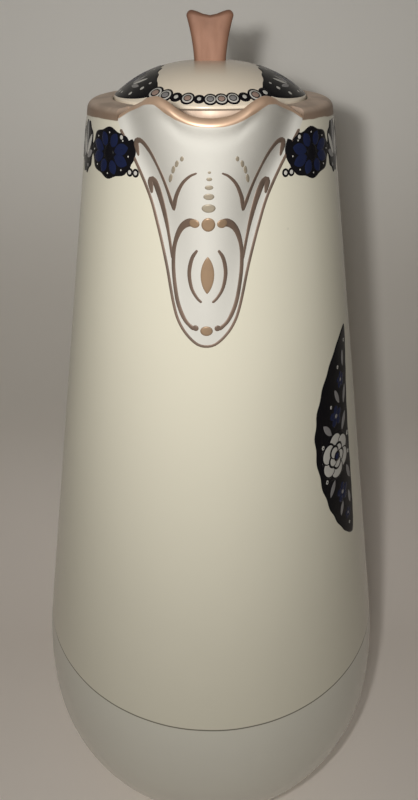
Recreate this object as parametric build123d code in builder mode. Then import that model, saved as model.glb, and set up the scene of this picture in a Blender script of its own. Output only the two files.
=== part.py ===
# Tall conical porcelain chocolate pot with a beak spout, a loop handle and a loose domed lid.
# Millimetres. +Z is up, the spout points along -Y and the handle along +Y.
# The origin is the centre of the foot ring, on the surface that the pot stands on.

import os
from math import acos, atan2, cos, degrees, hypot, pi, radians, sin, tan

from build123d import *

# Pot body
foot_radius = 43.5          # outside of the foot ring
foot_ring_width = 4.5
foot_height = 3.0           # table to where the belly springs from the foot
foot_step = 1.2             # the belly starts this much outside the foot ring
foot_recess = 2.2           # underside of the floor above the table
floor_thickness = 4.5
belly_radius = 57.6         # widest part of the pot
belly_height = 40.0         # height of the widest part
belly_curve = 147.0         # radius of the swell between the widest part and the straight wall
wall = 3.2
shoulder_radius = 28.0      # top of the straight wall
shoulder_height = 220.4
rim_round = 2.0             # rounded outer corner of the rim
ridge_rise = 3.0            # shoulder to the rim's outer corner
rim_rise = 3.5              # shoulder to the inner edge of the rim

# Lid seat in the rim
seat_depth = 1.7
seat_ledge = 2.3            # width of the ledge that the lid rests on
gallery_thickness = 3.4
inner_shoulder = 6.0        # height over which the inside curves in to the mouth

# Lid
lid_radius = 21.6
lid_edge = 2.0              # upright edge of the lid
dome_rise = 6.8             # lid edge to crown
dome_turn_radius = 14.1     # where the flat top of the dome turns down more steeply
dome_turn_drop = 2.3        # crown to that turn
lid_wall = 2.6
hollow_drop = 3.2           # how far the underside falls from its middle out to the flange
lid_clearance = 0.3         # round the lid in its recess, and round its flange in the mouth
flange_depth = 8.0
flange_wall = 2.2
edge_round = 0.5

# Finial
finial_foot_width = 7.4
finial_top_width = 10.3
finial_foot_depth = 4.6
finial_top_depth = 3.4
finial_height = 9.9         # crown of the lid to the horns
finial_notch = 0.9          # dip between the horns
finial_round = 1.0
finial_bed = 0.6            # how far the foot is let into the crown

# Spout
lip_height = 4.3            # pouring lip above the shoulder
crest_height = 7.2          # crests beside the lip, above the shoulder
crest_offset = 10.9         # centre of the lip to each crest
corner_height = 2.4         # where the spout's rim meets the pot's rim, above the shoulder
lip_round = 0.9
spout_back = 8.0            # the beak's outer section is drawn back to this far in front of the axis
hollow_back = 4.0           # and its hollow to this far
beak_spread = 52.0          # degrees that the beak's sections cover on each side of the front
beak_points = 10            # points of a section on each side of its middle

# Handle
handle_top = 23.0           # centre of the upper joint below the shoulder
handle_bottom = 106.0       # centre of the lower joint below the shoulder
handle_reach = 34.0         # scale of the loop's bend away from the wall
handle_width = 9.6
handle_depth = 7.0
handle_spread = 1.3         # the joints are this much stouter than the grip's upper part
handle_waist = 0.94         # and its lower half is this much slimmer
# The loop's sections: how far along it, and how stout beside the grip's upper part.
handle_sections = [
    (0.0, handle_spread),
    (0.2, 1.0),
    (0.55, handle_waist),
    (0.85, handle_waist),
    (1.0, handle_spread),
]

# The straight wall runs from the shoulder down to the swell of the belly.
swell_centre = (belly_radius - belly_curve, belly_height)
to_shoulder = (shoulder_radius - swell_centre[0], shoulder_height - swell_centre[1])
wall_angle = atan2(to_shoulder[1], to_shoulder[0]) - acos(belly_curve / hypot(*to_shoulder))


def cone_radius(height, inset=0.0):
    """Radius of the straight wall at a height, with an inset measured square to the wall."""
    return shoulder_radius + (shoulder_height - height) * tan(wall_angle) - inset / cos(wall_angle)


floor_height = foot_recess + floor_thickness
ridge_height = shoulder_height + ridge_rise
rim_height = shoulder_height + rim_rise
seat_height = rim_height - seat_depth
seat_radius = lid_radius + lid_clearance
mouth_radius = seat_radius - seat_ledge
gallery_bottom = seat_height - gallery_thickness
inner_top = gallery_bottom - inner_shoulder

# Spout, from its tip to above its rim: height above the shoulder, half width seen from the
# front, and how far the beak stands out from the straight wall.
spout_stations = [
    (-42.4, 0.0, 0.0),
    (-36.0, 6.4, 0.8),
    (-23.5, 8.9, 2.8),
    (-10.5, 12.4, 6.6),
    (0.6, 18.4, 11.6),
    (9.0, 21.0, 16.2),
]

# ---- Pot body: one thrown-form shell with a foot ring, a rounded rim and a seat for the lid

with BuildPart() as pot_body:
    with BuildSketch(Plane.XZ):
        with BuildLine():
            underside = Polyline(
                (0, foot_recess),
                (foot_radius - foot_ring_width, foot_recess),
                (foot_radius - foot_ring_width, 0),
                (foot_radius, 0),
                (foot_radius + foot_step, foot_height),
            )
            TangentArc((belly_radius, belly_height), underside @ 1, tangent=(0, -1))
            swell = CenterArc(swell_centre, belly_curve, 0, degrees(wall_angle))
            FilletPolyline(
                swell @ 1,
                (cone_radius(ridge_height), ridge_height),
                (seat_radius, rim_height),
                radius=rim_round,
            )
            mouth = Polyline(
                (seat_radius, rim_height),
                (seat_radius, seat_height),
                (mouth_radius, seat_height),
                (mouth_radius, gallery_bottom),
            )
            inner_swell = CenterArc(swell_centre, belly_curve - wall, 0, degrees(wall_angle))
            inner_wall = Line(inner_swell @ 1, (cone_radius(inner_top, wall), inner_top))
            TangentArc(inner_wall @ 1, mouth @ 1, tangent=inner_wall % 1)
            bowl = TangentArc(
                (belly_radius - wall, belly_height), (foot_radius, floor_height), tangent=(0, -1)
            )
            Polyline(bowl @ 1, (0, floor_height), (0, foot_recess))
        make_face()
    revolve(axis=Axis.Z)

# ---- Spout: a beak that fills a shield-shaped notch in the wall and rises to a wavy rim


def beak_radius(angle, height, half_width, reach, inset):
    """Distance from the pot's axis to the beak: the straight wall plus a smooth bell."""
    spread = half_width / cone_radius(height)
    share = min(abs(angle) / spread, 1) if spread else 1
    return cone_radius(height, inset) + reach * cos(share * pi / 2) ** 2


def beak_solid(inset, back):
    """Loft through level sections of the beak, each closed by a straight back at y = -back."""
    with BuildPart() as solid:
        for rise, half_width, reach in spout_stations:
            height = shoulder_height + rise
            points = []
            for step in range(-beak_points, beak_points + 1):
                angle = radians(beak_spread) * step / beak_points
                radius = beak_radius(angle, height, half_width, reach, inset)
                points.append((radius * sin(angle), -radius * cos(angle)))
            with BuildSketch(Plane.XY.offset(height)):
                with BuildLine():
                    front = Spline(*points)
                    Polyline(front @ 1, ((front @ 1).X, -back), ((front @ 0).X, -back), front @ 0)
                make_face()
        loft()
    return solid.part


# The cutters for the beak reach past the front of the pot and above every rim.
cutter_margin = 20
front_reach = belly_radius + cutter_margin
front_top = shoulder_height + 2 * crest_height

with BuildPart() as notch:
    with BuildSketch(Plane.XZ):
        with BuildLine():
            side = [(half, shoulder_height + rise) for rise, half, reach in spout_stations]
            outline = Spline(*side, tangents=[(1, 0), (0.3, 1)])
            mirror(outline, about=Plane.YZ)
            Line(outline @ 1, (-(outline @ 1).X, (outline @ 1).Y))
        make_face()
    extrude(amount=front_reach)

# Everything above the wavy rim: a low lip between two crests, falling to the pot's own rim.
corner_offset = spout_stations[-2][1]
with BuildPart() as above_rim:
    with BuildSketch(Plane.XZ):
        with BuildLine():
            wave = Spline(
                (0, shoulder_height + lip_height),
                (crest_offset, shoulder_height + crest_height),
                (corner_offset, shoulder_height + corner_height),
                tangents=[(1, 0), (1, -0.5)],
            )
            mirror(wave, about=Plane.YZ)
            end = wave @ 1
            Polyline(
                end, (front_reach, end.Y), (front_reach, front_top), (-front_reach, front_top),
                (-front_reach, end.Y), (-end.X, end.Y),
            )
        make_face()
    extrude(amount=front_reach)

# The wall inside the notch goes to the spout. What lies inside the wall's inner face, the
# ring that carries the lid, stays with the pot as a bridge behind the beak.
with BuildPart() as core:
    with BuildSketch(Plane.XZ):
        with BuildLine():
            core_top = 2 * rim_height - seat_height
            Polyline(
                (0, belly_height),
                (cone_radius(belly_height, wall), belly_height),
                (cone_radius(core_top, wall), core_top),
                (0, core_top),
                close=True,
            )
        make_face()
    revolve(axis=Axis.Z)
notch_wall = notch.part - core.part
with pot_body:
    add(notch_wall, mode=Mode.SUBTRACT)

outer_beak = beak_solid(0, spout_back)
inner_beak = beak_solid(wall, hollow_back)
with BuildPart() as spout:
    add(outer_beak)
    add(inner_beak, mode=Mode.SUBTRACT)
    add(notch.part, mode=Mode.INTERSECT)
    add(above_rim.part, mode=Mode.SUBTRACT)
    rim_edges = spout.edges().filter_by(lambda e: (e @ 0.5).Z > shoulder_height + corner_height)
    fillet(rim_edges, lip_round)
    add(pot_body.part, mode=Mode.SUBTRACT)

# ---- Handle: a stout loop, luted to the wall at both ends

handle_wall_top = (cone_radius(shoulder_height - handle_top), shoulder_height - handle_top)
handle_wall_bottom = (cone_radius(shoulder_height - handle_bottom), shoulder_height - handle_bottom)
handle_span = handle_bottom - handle_top

# Bezier control points between the joints: out from the upper joint as a share of the reach,
# and up from it as a share of the distance between the joints.
handle_form = [(0.80, 0.20), (1.55, 0.10), (1.35, -0.50), (1.20, -0.95)]
with BuildPart() as handle:
    with BuildLine(Plane.YZ):
        bends = [
            (handle_wall_top[0] + out * handle_reach, handle_wall_top[1] + up * handle_span)
            for out, up in handle_form
        ]
        loop = Bezier(
            (handle_wall_top[0] - wall / 2, handle_wall_top[1]),
            *bends,
            (handle_wall_bottom[0] - wall / 2, handle_wall_bottom[1]),
        )
    for place, stout in handle_sections:
        with BuildSketch(Plane(origin=loop @ place, x_dir=(1, 0, 0), z_dir=loop % place)):
            Ellipse(stout * handle_width / 2, stout * handle_depth / 2)
    sweep(path=loop, multisection=True)
    add(pot_body.part, mode=Mode.SUBTRACT)
    add(core.part, mode=Mode.SUBTRACT)

# ---- Lid: a shallow dome with a flange that drops into the mouth

edge_top = seat_height + lid_edge
crown = edge_top + dome_rise
flange_radius = mouth_radius - lid_clearance
flange_inner = flange_radius - flange_wall

with BuildPart() as lid:
    with BuildSketch(Plane.XZ):
        with BuildLine():
            top = TangentArc((0, crown), (dome_turn_radius, crown - dome_turn_drop), tangent=(1, 0))
            dome = TangentArc(top @ 1, (lid_radius, edge_top), tangent=top % 1)
            hollow = TangentArc(
                (0, crown - lid_wall), (flange_inner, crown - lid_wall - hollow_drop), tangent=(1, 0)
            )
            Polyline(
                dome @ 1,
                (lid_radius, seat_height + edge_round),
                (lid_radius - edge_round, seat_height),
                (flange_radius, seat_height),
                (flange_radius, seat_height - flange_depth + edge_round),
                (flange_radius - edge_round, seat_height - flange_depth),
                (flange_inner, seat_height - flange_depth),
                hollow @ 1,
            )
            Line(hollow @ 0, top @ 0)
        make_face()
    revolve(axis=Axis.Z)

# ---- Finial: a flat tab that widens upwards to two soft horns

finial_bottom = crown - finial_bed
horn_height = crown + finial_height
with BuildPart() as finial:
    with BuildSketch(Plane.XZ):
        with BuildLine():
            flare = Spline(
                (finial_foot_width / 2, finial_bottom),
                (finial_top_width / 2, horn_height),
                tangents=[(0, 1), (0.25, 1)],
            )
            mirror(flare, about=Plane.YZ)
            Line(flare @ 0, (-(flare @ 0).X, (flare @ 0).Y))
            horn = flare @ 1
            ThreePointArc(horn, (0, horn.Y - finial_notch), (-horn.X, horn.Y))
        make_face()
    extrude(amount=finial_foot_depth, both=True)
    with BuildSketch(Plane.YZ):
        with BuildLine():
            Polyline(
                (-finial_foot_depth / 2, finial_bottom),
                (finial_foot_depth / 2, finial_bottom),
                (finial_top_depth / 2, horn_height),
                (-finial_top_depth / 2, horn_height),
                close=True,
            )
        make_face()
    extrude(amount=finial_top_width, both=True, mode=Mode.INTERSECT)
    fillet(finial.edges().filter_by(lambda e: e.center().Z > finial_bottom + finial_round), finial_round)
    add(lid.part, mode=Mode.SUBTRACT)

os.makedirs("parts", exist_ok=True)
for name, piece in (
    ("pot_body", pot_body), ("spout", spout), ("handle", handle), ("lid", lid), ("finial", finial)
):
    piece.part.label = name
    export_step(piece.part, f"parts/{name}.step")
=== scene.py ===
# Chocolate pot: the looks of its glaze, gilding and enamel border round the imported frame.
# Sizes in the dictionaries are millimetres. Flat ornament is drawn as (across, up) and laid on its surface.

from math import acos, atan2, comb, cos, hypot, pi, radians, sin, tan

import bmesh
import bpy
import numpy as np
from mathutils import Matrix, Vector


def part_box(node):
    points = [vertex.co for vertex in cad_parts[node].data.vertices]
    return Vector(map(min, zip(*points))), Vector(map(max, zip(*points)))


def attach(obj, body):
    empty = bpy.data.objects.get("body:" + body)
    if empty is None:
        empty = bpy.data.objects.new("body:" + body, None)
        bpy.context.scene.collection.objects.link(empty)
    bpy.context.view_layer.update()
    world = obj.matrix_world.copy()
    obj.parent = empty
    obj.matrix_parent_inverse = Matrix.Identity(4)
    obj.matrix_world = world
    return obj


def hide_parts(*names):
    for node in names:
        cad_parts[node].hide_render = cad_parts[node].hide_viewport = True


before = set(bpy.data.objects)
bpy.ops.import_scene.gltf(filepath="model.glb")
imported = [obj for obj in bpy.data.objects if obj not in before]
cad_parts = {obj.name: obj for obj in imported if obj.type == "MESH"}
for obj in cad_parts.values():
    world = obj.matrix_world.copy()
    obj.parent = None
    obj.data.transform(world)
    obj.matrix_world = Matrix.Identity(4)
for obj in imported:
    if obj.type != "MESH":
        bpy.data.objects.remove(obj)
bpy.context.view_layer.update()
mm = 0.001
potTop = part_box("pot_body")[1].z

pot = {
    "footRadius": 43.5, "footRingWidth": 4.5, "footHeight": 3.0, "footStep": 1.2, "footRecess": 2.2,
    "floorHeight": 6.7, "bellyRadius": 57.6, "bellyHeight": 40.0, "bellyCurve": 147.0, "wall": 3.2,
    "shoulderRadius": 28.0, "shoulderHeight": 220.4, "ridgeRise": 3.0, "rimRound": 2.0,
    "rimHeight": potTop / mm, "seatDepth": 1.7, "seatRadius": 21.9, "mouthRadius": 19.6,
    "galleryThickness": 3.4, "innerShoulder": 6.0, "columns": 288,
    # where the straight wall's runs of points start and end, outside and inside
    "straightFrom": 74, "straightTo": 217, "rimFrom": 210, "insideTo": 208,
    # each fillet's radius and number of points, round the foot and inside the seat
    "footRounds": ((0.8, 4), (1.0, 5), (1.0, 5)), "seatRounds": ((0.5, 5), (0.4, 4), (0.4, 4)),
    # how the wall turns in under the ledge that carries the lid: in by a share, and its two middle points
    "turnIn": 0.55, "turnFirst": (0.45, 0.55), "turnSecond": (1.15, 1.2),
    # where the recess and the floor stop short of their corners, and how many points each run has
    "recessShort": 1.0, "floorShort": 2.0,
    "points": {"recess": 12, "foot": 24, "swell": 12, "wall": 34, "turn": 9, "inside": 30, "bowl": 16, "floor": 12},
}
spout = {
    # height above the shoulder, half width seen from the front, reach out from the wall
    "stations": [(-42.4, 0.0, 0.0), (-36.0, 6.4, 0.8), (-23.5, 8.9, 2.8), (-10.5, 12.4, 6.6), (0.6, 18.4, 11.6),
                 (9.0, 21.0, 16.2)],
    # the wavy rim: sideways from the middle of the lip, height above the shoulder
    "wave": [(0.0, 4.1), (2.0, 4.2), (4.0, 4.55), (6.0, 5.3), (8.0, 6.5), (10.2, 7.2), (12.2, 6.65), (14.0, 5.4),
             (16.2, 4.1), (18.9, 2.5), (21.0, 1.4)],
    # how far down the outside the gold runs below the rim, at the same sideways places
    "gilded": [(0.0, 1.3), (5.2, 1.5), (7.7, 2.0), (9.2, 1.7), (10.3, 1.2), (11.7, 0.7), (13.4, 0.35), (18.9, 0.3)],
    "lean": 0.022, "lipThickness": 2.6, "lipTaper": 12.0, "bead": 0.4, "beadHeight": 1.1, "neck": 0.45,
    "neckAt": 3.6, "neckHeight": 1.5, "beadEnds": 8, "fullBead": 2.0, "leastBead": 0.3,
    # the solvers' first guesses and passes, and the grid of the beak
    "firstRadius": 30.0, "firstLip": 4.0, "placePasses": 30, "rimPasses": 40, "columns": 121, "rows": 100,
    "lipRows": 12, "crowding": 1.15, "startAbove": 0.02,
    # the solid that cuts the wall away behind it: points each way, clearance and reach outwards
    "cutColumns": 41, "cutRows": 60, "cutClear": 0.3, "cutOut": 4,
}
joins = {"merge": 0.004, "beakMerge": 0.002, "thin": 0.001}     # millimetres within which points are one


def newMesh(name, points, faces):
    mesh = bpy.data.meshes.new(name)
    mesh.from_pydata((np.reshape(points, (-1, 3)) * mm).tolist(), [], faces)
    return mesh


def newObject(name, data):
    made = bpy.data.objects.new(name, data)
    bpy.context.scene.collection.objects.link(made)
    return made


# Merges points nearer than one distance, dissolves edges under another, and turns faces outward if asked.
def mend(mesh, merge=0.0, thin=0.0, turnOut=False):
    work = bmesh.new()
    work.from_mesh(mesh)
    if merge:
        bmesh.ops.remove_doubles(work, verts=work.verts, dist=merge * mm)
    if thin:
        bmesh.ops.dissolve_degenerate(work, edges=work.edges, dist=thin * mm)
    if turnOut:
        bmesh.ops.recalc_face_normals(work, faces=work.faces)
    work.to_mesh(mesh)
    work.free()


# Makes a mesh piece of points in millimetres and its faces, closes its poles and seams, and rides it on a body.
def finishMesh(name, points, faces, material, body, sharp=None):
    mesh = newMesh(name, points, faces)
    mend(mesh, joins["merge"], joins["thin"])
    mesh.shade_smooth()
    if sharp:
        mesh.set_sharp_from_angle(angle=radians(sharp))
    mesh.materials.append(material)
    piece = newObject(name, mesh)
    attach(piece, body)
    return piece


# Quads of a rows by columns grid, numbered row by row; either way round may be closed.
def gridFaces(rows, columns, start=0, aroundRows=False, aroundColumns=False):
    r = np.arange(rows if aroundRows else rows - 1)
    c = np.arange(columns if aroundColumns else columns - 1)
    r, c = np.meshgrid(r, c, indexing="ij")
    below, beside = (r + 1) % rows, (c + 1) % columns
    quads = np.stack([r * columns + c, r * columns + beside, below * columns + beside, below * columns + c], -1)
    return (quads.reshape(-1, 4) + start).tolist()


# Cubic Hermite curve through points, with harmonic-mean slopes so that it never overshoots.
def monotone(xs, ys, x):
    xs, ys = np.asarray(xs, float), np.asarray(ys, float)
    gap = np.diff(xs)
    rise = np.diff(ys) / gap
    slope = np.concatenate([rise[:1], np.zeros(len(rise) - 1), rise[-1:]])
    same = rise[:-1] * rise[1:] > 0
    slope[1:-1][same] = 2 * rise[:-1][same] * rise[1:][same] / (rise[:-1] + rise[1:])[same]
    x = np.clip(x, xs[0], xs[-1])
    k = np.clip(np.searchsorted(xs, x) - 1, 0, len(gap) - 1)
    s = (x - xs[k]) / gap[k]
    return (ys[k] * (1 + 2 * s) * (1 - s) ** 2 + gap[k] * slope[k] * s * (1 - s) ** 2
            + ys[k + 1] * s * s * (3 - 2 * s) + gap[k] * slope[k + 1] * s * s * (s - 1))


# Catmull-Rom curve through flat points, sampled at even parameters.
def smoothLine(points, count, closed=False):
    p = np.asarray(points, float)
    n = len(p)
    spans = n if closed else n - 1
    t = np.linspace(0, spans, count, endpoint=not closed)
    k = np.minimum(t.astype(int), spans - 1)
    s = (t - k)[:, None]
    if closed:
        a, b, c, d = p[(k - 1) % n], p[k % n], p[(k + 1) % n], p[(k + 2) % n]
    else:
        ends = np.vstack([2 * p[0] - p[1], p, 2 * p[-1] - p[-2]])
        a, b, c, d = ends[k], ends[k + 1], ends[k + 2], ends[k + 3]
    return 0.5 * (2 * b + (c - a) * s + (2 * a - 5 * b + 4 * c - d) * s ** 2 + (3 * b - a - 3 * c + d) * s ** 3)


# Points along a circle in the profile's plane, from one angle to another.
def arc(centre, radius, start, end, count):
    a = np.linspace(start, end, count)
    return np.stack([centre[0] + radius * np.cos(a), centre[1] + radius * np.sin(a)], -1)


# Arc from a low point up to a high one, where it stands upright: its centre is level with the high point.
def bulge(low, high, count):
    across, up = high[0] - low[0], high[1] - low[1]
    radius = (across ** 2 + up ** 2) / (2 * across)
    start = atan2(-up, radius - across)
    return arc((high[0] - radius, high[1]), radius, start, 0, count)


# Fillet of a profile's corner: a tangent arc between the two lines that meet there.
def rounded(before, corner, after, radius, count=7):
    before, corner, after = (np.array(p, float) for p in (before, corner, after))
    a, b = (v / np.linalg.norm(v) for v in (before - corner, after - corner))
    half = acos(float(a @ b)) / 2
    centre = corner + (a + b) / np.linalg.norm(a + b) * radius / sin(half)
    first, last = (corner + v * radius / tan(half) - centre for v in (a, b))
    t = np.linspace(0, 1, count)[:, None]
    spoke = first * (1 - t) + last * t
    return centre + spoke / np.linalg.norm(spoke, axis=1, keepdims=True) * radius


# Fillets at the inner corners of a chain of points, each given by its radius and its number of points.
def roundedChain(corners, rounds):
    return np.vstack([rounded(*corners[k:k + 3], *size) for k, size in enumerate(rounds)])


def line(start, end, count):
    return np.linspace(start, end, count)


swellCentre = (pot["bellyRadius"] - pot["bellyCurve"], pot["bellyHeight"])
toShoulder = (pot["shoulderRadius"] - swellCentre[0], pot["shoulderHeight"] - swellCentre[1])
wallAngle = atan2(toShoulder[1], toShoulder[0]) - acos(pot["bellyCurve"] / hypot(*toShoulder))


# Radius of the straight wall at a height, set in square to the wall.
def coneRadius(height, inset=0.0):
    return pot["shoulderRadius"] + (pot["shoulderHeight"] - height) * tan(wallAngle) - inset / cos(wallAngle)


# Radius of the outside at any height: the straight wall down to where the belly swells.
def wallRadius(height):
    height = np.asarray(height, float)
    swell = swellCentre[0] + np.sqrt(np.maximum(pot["bellyCurve"] ** 2 - (height - swellCentre[1]) ** 2, 0))
    springs = swellCentre[1] + pot["bellyCurve"] * sin(wallAngle)
    return np.where(height > springs, coneRadius(height), swell)


def wallPoint(height, inset=0.0):
    return coneRadius(height, inset), height


# The pot's section, from the middle of the underside out, up, over the rim and down inside to the floor.
def potProfile():
    p = pot
    ridge = p["shoulderHeight"] + p["ridgeRise"]
    seat = p["rimHeight"] - p["seatDepth"]
    galleryBottom = seat - p["galleryThickness"]
    footInner, footOuter, recess = p["footRadius"] - p["footRingWidth"], p["footRadius"], p["footRecess"]
    foot = [(0, recess), (footInner, recess), (footInner, 0.0), (footOuter, 0.0),
            (footOuter + p["footStep"], p["footHeight"])]
    gallery = [(p["seatRadius"], seat), (p["mouthRadius"], seat), (p["mouthRadius"], galleryBottom)]
    rim = [wallPoint(p["rimFrom"]), wallPoint(ridge), (p["seatRadius"], p["rimHeight"])]
    top = wallPoint(galleryBottom - p["innerShoulder"], p["wall"])
    lean = (top[0] - p["mouthRadius"]) * p["turnIn"]
    (firstIn, firstUp), (secondIn, below), n = p["turnFirst"], p["turnSecond"], p["points"]
    turn = smoothLine([top, (top[0] - lean * firstIn, top[1] + p["innerShoulder"] * firstUp),
                       (top[0] - lean * secondIn, galleryBottom - below), gallery[-1]], n["turn"])
    bowl = bulge((p["footRadius"], p["floorHeight"]), (p["bellyRadius"] - p["wall"], p["bellyHeight"]), n["bowl"])
    return np.vstack([
        line((0, recess), (footInner - p["recessShort"], recess), n["recess"]),
        roundedChain(foot, p["footRounds"]),
        bulge(foot[-1], (p["bellyRadius"], p["bellyHeight"]), n["foot"])[1:],
        arc(swellCentre, p["bellyCurve"], 0, wallAngle, n["swell"])[1:],
        line(wallPoint(p["straightFrom"]), wallPoint(p["straightTo"]), n["wall"]),
        roundedChain(rim + gallery, ((p["rimRound"], 12), *p["seatRounds"])),
        turn[::-1],
        line(wallPoint(p["insideTo"], p["wall"]), wallPoint(p["straightFrom"], p["wall"]), n["inside"]),
        arc(swellCentre, p["bellyCurve"] - p["wall"], wallAngle, 0, n["swell"])[1:],
        bowl[::-1][1:],
        line((p["footRadius"] - p["floorShort"], p["floorHeight"]), (0, p["floorHeight"]), n["floor"]),
    ])


# Surface of revolution: each profile point (radius, height) carried round the upright axis.
def revolve(profile, columns):
    turn = np.linspace(0, 2 * pi, columns, endpoint=False)
    radius, height = profile[:, :1], profile[:, 1:]
    points = np.stack([radius * np.sin(turn), -radius * np.cos(turn), height + 0 * turn], -1)
    return points, gridFaces(len(profile), columns, aroundColumns=True)


stations = np.array(spout["stations"])
stationHeights = stations[:, 0] + pot["shoulderHeight"]
wave, gilded = np.array(spout["wave"]), np.array(spout["gilded"])


# Half the beak's width at a height: the square is what runs smoothly, so the bottom end is round.
def halfWidth(height):
    return np.sqrt(np.maximum(monotone(stationHeights, stations[:, 1] ** 2, height), 0))


def reach(height):
    return monotone(stationHeights, stations[:, 2], height) * (height > stationHeights[0])


# How far round the beak's middle line stands, which leans a little to one side going down.
def leanAngle(height):
    return -spout["lean"] * (pot["rimHeight"] - height) / coneRadius(height)


# The straight wall plus a smooth bell: reach times the squared cosine across the beak's spread.
def beakRadius(angle, height, inset=0.0):
    spread = np.maximum(halfWidth(height) / coneRadius(height), 1e-5)
    share = np.minimum(np.abs(angle - leanAngle(height)) / spread, 1)
    return coneRadius(height, inset) + reach(height) * np.cos(share * pi / 2) ** 2


# Point on the outside of wall or beak at a sideways place and a height, found by repeating asin(x / r).
def frontPoint(across, height):
    across, height = np.broadcast_arrays(np.asarray(across, float), np.asarray(height, float))
    angle = across / spout["firstRadius"]
    for _ in range(spout["placePasses"]):
        angle = np.arcsin(np.clip(across / beakRadius(angle, height), -0.999, 0.999))
    radius = beakRadius(angle, height)
    return np.stack([radius * np.sin(angle), -radius * np.cos(angle), height], -1)


# Even curve through points given on one side of the middle, so that it is level in the middle.
def mirrored(points, across):
    both = np.vstack([points[:0:-1] * (-1, 1), points])
    return monotone(both[:, 0], both[:, 1], across)


def rimWave(across):
    return pot["shoulderHeight"] + mirrored(wave, across)


# Points of the beak at shares -1 to 1 of its width, at heights, set in from the outside.
def beakGrid(share, height, inset):
    edge = np.arcsin(np.clip(halfWidth(height) / coneRadius(height), 0, 1))
    angle = leanAngle(height) + share * edge
    radius = beakRadius(angle, height, inset)
    return np.stack([radius * np.sin(angle), -radius * np.cos(angle), height + 0 * radius], -1)


# Height of the rim for each column, by repeating: take the sideways place there, read the wave.
def rimHeights(share):
    height = np.full_like(share, pot["shoulderHeight"] + spout["firstLip"])
    for _ in range(spout["rimPasses"]):
        height = rimWave(beakGrid(share, height, 0)[..., 0])
    return height


# Quads that close both side edges of a folded sheet, whose row r lies against the r-th row from its end.
def sideFaces(rows, columns, steps, flip=False):
    for side in (0, columns - 1):
        for r in range(steps):
            face = [k * columns + side for k in (r, r + 1, rows - 2 - r, rows - 1 - r)]
            yield face[::-1] if flip and not side else face


# Closed shell: outside from the pointed end up to the rim, a half-round lip, and the inside back down.
def buildBeak(material):
    s = spout
    share = np.linspace(-1, 1, s["columns"])
    top = rimHeights(share)
    low = stationHeights[0] + s["startAbove"]
    lip = s["lipThickness"] / 2
    up = np.linspace(0, 1, s["rows"]) ** s["crowding"]
    heights = low + (top - lip - low) * up[:, None]
    below = (top - heights) / s["lipTaper"]
    thick = pot["wall"] + (s["lipThickness"] - pot["wall"]) * np.clip(1 - below, 0, 1) ** 2
    fullness = np.clip(mirrored(gilded, beakGrid(share, top, 0)[..., 0]) / s["fullBead"], s["leastBead"], 1)
    middle = (1 - share ** s["beadEnds"]) * fullness
    bead = s["bead"] * np.exp(-((top - lip - heights) / s["beadHeight"]) ** 2) * middle
    bead = bead - s["neck"] * np.exp(-((top - s["neckAt"] - heights) / s["neckHeight"]) ** 2) * middle
    outside = beakGrid(share, heights, -bead)
    inside = beakGrid(share, heights, thick)[::-1]
    turn = np.linspace(0, pi, s["lipRows"])[1:-1, None]
    edgeBead = s["bead"] - s["neck"] * np.exp(-((s["neckAt"] - lip) / s["neckHeight"]) ** 2)
    lipInset = lip * (1 - np.cos(turn)) - edgeBead * (1 + np.cos(turn)) / 2 * middle
    over = beakGrid(share, top - lip + 0 * turn, lipInset)
    over[..., 2] += lip * np.sin(turn)
    points = np.concatenate([outside, over, inside])
    overDrop = lip * (1 - np.sin(turn)) + 0 * over[..., 2]
    drop = np.concatenate([top - outside[..., 2], overDrop, top - inside[..., 2]])
    gold = np.broadcast_to(mirrored(gilded, points[..., 0]), drop.shape)
    within = np.concatenate([0 * heights, np.broadcast_to(turn / pi, over.shape[:2]), 0 * heights + 1])
    rows, columns = points.shape[:2]
    faces = gridFaces(rows, columns, aroundRows=True) + list(sideFaces(rows, columns, (rows - 2) // 2, flip=True))
    mesh = newMesh("beak", points, faces)
    for name, values in (("belowRim", drop), ("inward", within), ("gilded", gold)):
        mesh.attributes.new(name, "FLOAT", "POINT").data.foreach_set("value", values.astype(np.float32).ravel())
    mend(mesh, joins["beakMerge"], turnOut=True)
    mesh.shade_smooth()
    mesh.set_sharp_from_angle(angle=radians(50))
    mesh.materials.append(material)
    piece = newObject("beak", mesh)
    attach(piece, "pot")
    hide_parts("spout")


# Solid that takes the wall away behind the beak, from just inside the wall's inner face outwards.
def notchCutter():
    s = spout
    share = np.linspace(-1, 1, s["cutColumns"])
    rise = stationHeights[-1] - stationHeights[0] - s["cutClear"]
    heights = np.linspace(0, 1, s["cutRows"])[:, None] ** s["crowding"] * rise + stationHeights[0] + s["cutClear"]
    sheets = []
    for radius in (coneRadius(heights) + s["cutOut"], coneRadius(heights, pot["wall"]) - s["cutClear"]):
        sheet = beakGrid(share, heights + 0 * share, 0)
        angle = np.arctan2(sheet[..., 0], -sheet[..., 1])
        sheet[..., 0], sheet[..., 1] = radius * np.sin(angle), -radius * np.cos(angle)
        sheets.append(sheet)
    points = np.concatenate([sheets[0], sheets[1][::-1]])
    rows, columns = points.shape[:2]
    faces = gridFaces(rows, columns, aroundRows=True) + list(sideFaces(rows, columns, rows // 2 - 1))
    mesh = newMesh("notchCutter", points, faces)
    mend(mesh, turnOut=True)
    return newObject("notchCutter", mesh)


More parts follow.
